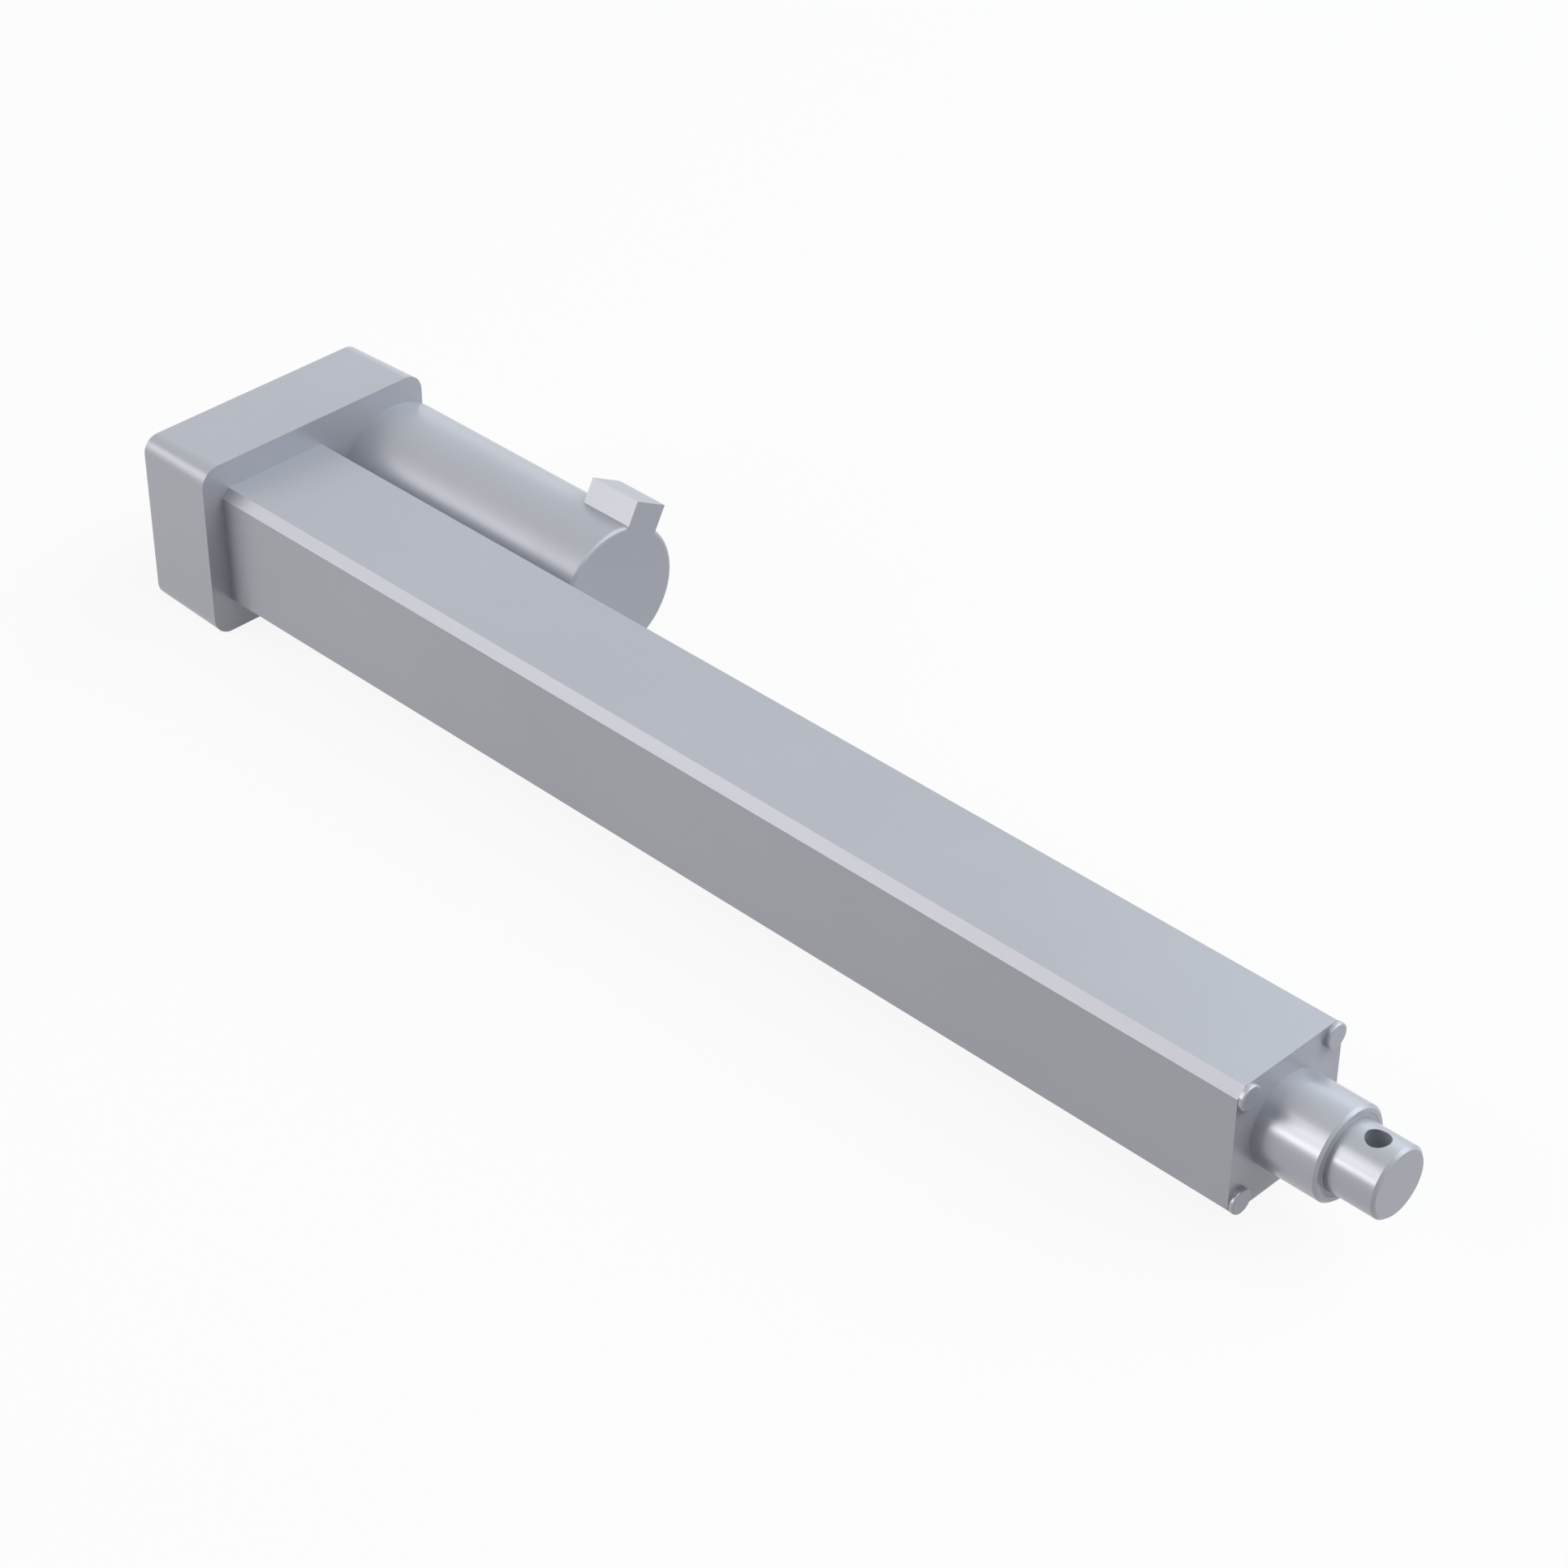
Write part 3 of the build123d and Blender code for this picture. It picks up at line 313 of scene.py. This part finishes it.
# leaves the piece in edit mode with only the wanted faces selected
def pickFaces(piece, wanted):
    bpy.ops.object.mode_set(mode="EDIT")
    bpy.ops.mesh.select_mode(type="FACE")
    bpy.ops.mesh.select_all(action="DESELECT")
    bpy.ops.object.mode_set(mode="OBJECT")
    place = piece.matrix_world
    for face in piece.data.polygons:
        face.select = wanted(place @ face.center, place.to_3x3() @ face.normal)
    bpy.ops.object.mode_set(mode="EDIT")


# merges doubles, turns the normals outwards and puts the piece's place into its mesh
def closeMesh(smoothAngle):
    bpy.ops.object.mode_set(mode="EDIT")
    bpy.ops.mesh.select_all(action="SELECT")
    bpy.ops.mesh.remove_doubles(threshold=mergeGap)
    bpy.ops.mesh.normals_make_consistent(inside=False)
    bpy.ops.object.mode_set(mode="OBJECT")
    bpy.ops.object.transform_apply(location=True, rotation=True, scale=True)
    bpy.ops.object.shade_smooth_by_angle(angle=smoothAngle)


# wiper ring in the collar's mouth: a lip on the rod, a shallow groove and a rounded outer edge
wiper = {
    "sides": 128, "smoothAngle": math.radians(40),
    "profile": (  # back from the collar's mouth, and out from the axis
        (0.00008, 0.01506), (0.00004, 0.01530), (0.00004, 0.01570), (0.00016, 0.01584), (0.00016, 0.01604),
        (0.00004, 0.01618), (0.00004, 0.01690), (0.00014, 0.01700), (0.00545, 0.01700), (0.00545, 0.01560),
        (0.00160, 0.01535), (0.00060, 0.01506),
    ),
}
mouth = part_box("rod_collar")[1][0]
ring = wiper["profile"]
bpy.ops.object.select_all(action="DESELECT")
bpy.ops.mesh.primitive_circle_add(
    vertices=wiper["sides"], radius=ring[0][1], location=(mouth - ring[0][0], 0, 0), rotation=(0, math.pi / 2, 0),
)
wiperRing = bpy.context.object
wiperRing.name = "wiper_ring"
bpy.ops.object.mode_set(mode="EDIT")
bpy.ops.mesh.select_mode(type="EDGE")
bpy.ops.mesh.select_all(action="SELECT")
for (back, out), (nextBack, nextOut) in zip(ring, ring[1:] + ring[:1]):
    bpy.ops.mesh.extrude_region_move(TRANSFORM_OT_translate={"value": (back - nextBack, 0, 0)})
    bpy.ops.transform.resize(value=(1, nextOut / out, nextOut / out), center_override=(mouth - nextBack, 0, 0))
bpy.ops.object.mode_set(mode="OBJECT")
closeMesh(wiper["smoothAngle"])
wiperRing.data.materials.append(materials["wiperPlastic"])
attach(wiperRing, "housing")
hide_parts("wiper_seal")
print("wiper ring made,", len(wiperRing.data.polygons), "faces")


# rear cover's screws: a bevelled head with a hexagon socket, flush in its counterbore
coverScrew = {
    "sides": 48, "headRadius": 0.0044, "headHeight": 0.003, "rimBevel": 0.00045, "rimSteps": 3,
    "shankRadius": 0.0025, "shankLength": 0.020, "socketRadius": 0.00231, "socketDepth": 0.0017,
    "smoothAngle": math.radians(35),
    "across": (-0.0306, 0.0120, 0.0756), "up": (-0.0326, 0.0336),
}
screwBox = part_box("cover_screws")
headStart = screwBox[0][0]
headEnd = headStart + coverScrew["headHeight"]
bpy.ops.object.select_all(action="DESELECT")
bpy.ops.mesh.primitive_cylinder_add(
    vertices=coverScrew["sides"], radius=coverScrew["headRadius"], depth=coverScrew["headHeight"],
    location=((headStart + headEnd) / 2, 0, 0), rotation=(0, math.pi / 2, 0),
)
firstScrew = bpy.context.object
firstScrew.name = "cover_screw_1"
pickFaces(firstScrew, lambda centre, normal: normal.x > squarely)
bpy.ops.mesh.inset(thickness=coverScrew["headRadius"] - coverScrew["shankRadius"], depth=0)
bpy.ops.mesh.extrude_region_move(TRANSFORM_OT_translate={"value": (coverScrew["shankLength"], 0, 0)})
pickFaces(firstScrew, lambda centre, normal: normal.x < -squarely)
bpy.ops.mesh.bevel(offset=coverScrew["rimBevel"], segments=coverScrew["rimSteps"], affect="EDGES")
bpy.ops.object.mode_set(mode="OBJECT")
bpy.ops.mesh.primitive_cylinder_add(
    vertices=6, radius=coverScrew["socketRadius"], depth=2 * coverScrew["socketDepth"],
    location=(headStart, 0, 0), rotation=(0, math.pi / 2, 0),
)
socket = bpy.context.object
bpy.ops.object.select_all(action="DESELECT")
firstScrew.select_set(True)
bpy.context.view_layer.objects.active = firstScrew
cut = firstScrew.modifiers.new("socket", "BOOLEAN")
cut.object = socket
bpy.ops.object.modifier_apply(modifier=cut.name)
bpy.data.objects.remove(socket)
closeMesh(coverScrew["smoothAngle"])
firstScrew.data.materials.append(materials["screwHeads"])
screwSpots = [(y, z) for y in coverScrew["across"] for z in coverScrew["up"]]
coverScrews = [firstScrew]
for i in range(1, len(screwSpots)):
    copy = firstScrew.copy()
    copy.data = firstScrew.data.copy()
    copy.name = f"cover_screw_{i + 1}"
    bpy.context.scene.collection.objects.link(copy)
    coverScrews.append(copy)
for screw, (y, z) in zip(coverScrews, screwSpots):
    screw.data.transform(Matrix.Translation((0, y, z)))
    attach(screw, "housing")
    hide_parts("cover_screws")
print("cover screws made,", len(coverScrews), "of", len(firstScrew.data.polygons), "faces")


# camera at the photograph's angle
cameraSpot = {
    "place": (1.2592, -0.8978, 0.9280), "heading": 2.3486, "dip": -0.6254, "roll": 0.0046,
    "lens": 90.40, "sensor": 36.0, "reach": 50.0,
}
ahead = Vector((
    math.cos(cameraSpot["dip"]) * math.cos(cameraSpot["heading"]),
    math.cos(cameraSpot["dip"]) * math.sin(cameraSpot["heading"]),
    math.sin(cameraSpot["dip"]),
))
level = ahead.cross(Vector((0, 0, 1))).normalized()
upright = level.cross(ahead).normalized()
turn = cameraSpot["roll"]
right = level * math.cos(turn) + upright * math.sin(turn)
up = upright * math.cos(turn) - level * math.sin(turn)
cameraData = bpy.data.cameras.new("camera")
cameraData.lens = cameraSpot["lens"]
cameraData.sensor_width = cameraSpot["sensor"]
cameraData.clip_end = cameraSpot["reach"]
camera = bpy.data.objects.new("camera", cameraData)
bpy.context.scene.collection.objects.link(camera)
camera.matrix_world = Matrix((
    (right.x, up.x, -ahead.x, cameraSpot["place"][0]),
    (right.y, up.y, -ahead.y, cameraSpot["place"][1]),
    (right.z, up.z, -ahead.z, cameraSpot["place"][2]),
    (0, 0, 0, 1),
))
bpy.context.scene.camera = camera


# the camera sees the floor mostly white, with the object's shadow in the rest; the object gets a darker floor's light
studio = {
    "floorSize": 16.0, "floorGap": 0.0004, "floorColour": (0.42, 0.39, 0.41),
    "floorShow": 0.90, "floorShown": (0.95, 0.95, 0.95),
    "worldColour": (0.80, 0.84, 0.92), "worldStrength": 0.02,
}
middle = Vector(((cadBox[0][0] + cadBox[1][0]) / 2, (cadBox[0][1] + cadBox[1][1]) / 2, 0.0))
bpy.ops.object.select_all(action="DESELECT")
bpy.ops.mesh.primitive_plane_add(size=studio["floorSize"], location=(0, 0, 0))
floor = bpy.context.object
floor.name = "floor"
floor.data.transform(Matrix.Translation((middle.x, middle.y, cadBox[0][2] - studio["floorGap"])))

floorBench = Bench(bpy.data.materials.new("paleFloor"))
cameraRay = floorBench.add("ShaderNodeLightPath", out="Is Camera Ray")
floorTone = floorBench.mix(cameraRay, tone(studio["floorColour"]), tone(studio["floorShown"]))
matt = floorBench.add("ShaderNodeBsdfDiffuse", {}, {"Color": floorTone})
white = floorBench.add("ShaderNodeEmission", {}, {"Color": (1, 1, 1, 1), "Strength": 1.0})
shown = floorBench.add("ShaderNodeMixShader", {}, {0: floorBench.seen() * studio["floorShow"], 1: matt, 2: white})
floorBench.add("ShaderNodeOutputMaterial", {}, {"Surface": shown})
floor.data.materials.append(floorBench.block)

# the world is white to the camera and in reflections, and dim as light on the object
worldBench = Bench(bpy.data.worlds.new("studio"))
dim = worldBench.add("ShaderNodeBackground", {}, {
    "Color": tone(studio["worldColour"]), "Strength": studio["worldStrength"],
})
bright = worldBench.add("ShaderNodeBackground", {}, {"Color": (1, 1, 1, 1), "Strength": 1.0})
sky = worldBench.add("ShaderNodeMixShader", {}, {0: worldBench.seen(), 1: dim, 2: bright})
worldBench.add("ShaderNodeOutputWorld", {}, {"Surface": sky})
bpy.context.scene.world = worldBench.block

# each softbox is placed from the object's middle and aimed at it
lamps = {
    "topSoftbox": {"from": (0.85, 0.10, 1.80), "size": (2.0, 2.0), "power": 14.9, "colour": (0.98, 1.0, 0.96)},
    "leftBank": {"from": (-2.3, -2.9, 1.70), "size": (3.6, 1.7), "power": 36.0, "colour": (0.98, 0.97, 1.0)},
    "leftHigh": {"from": (-1.2, -1.9, 2.00), "size": (1.8, 1.2), "power": 13.9, "colour": (1.0, 0.95, 0.90)},
    "lowStrip": {"from": (-1.75, -2.95, 0.72), "size": (1.5, 0.6), "power": 19.5, "colour": (1.0, 0.975, 0.97)},
    "rightHigh": {"from": (0.8, 1.8, 1.80), "size": (3.0, 3.0), "power": 40.0, "colour": (0.92, 0.95, 1.0)},
    "frontRight": {"from": (1.7, 2.1, 1.50), "size": (3.2, 3.2), "power": 25.5, "colour": (0.85, 0.92, 1.0)},
    "farRight": {"from": (-0.3, 2.3, 1.50), "size": (2.0, 1.2), "power": 6.1, "colour": (0.70, 0.95, 1.0)},
    "farStrip": {"from": (-2.6, 3.2, 0.90), "size": (3.4, 1.8), "power": 8.7, "colour": (0.88, 0.88, 1.0)},
}
for name, lamp in lamps.items():
    lampData = bpy.data.lights.new(name, "AREA")
    lampData.shape = "RECTANGLE"
    lampData.size, lampData.size_y = lamp["size"]
    lampData.energy = lamp["power"]
    lampData.color = lamp["colour"]
    light = bpy.data.objects.new(name, lampData)
    bpy.context.scene.collection.objects.link(light)
    light.location = middle + Vector(lamp["from"])
    light.rotation_euler = (-Vector(lamp["from"])).to_track_quat("-Z", "Y").to_euler()
bpy.context.scene.view_settings.view_transform = "Standard"
print("camera, floor and light set")
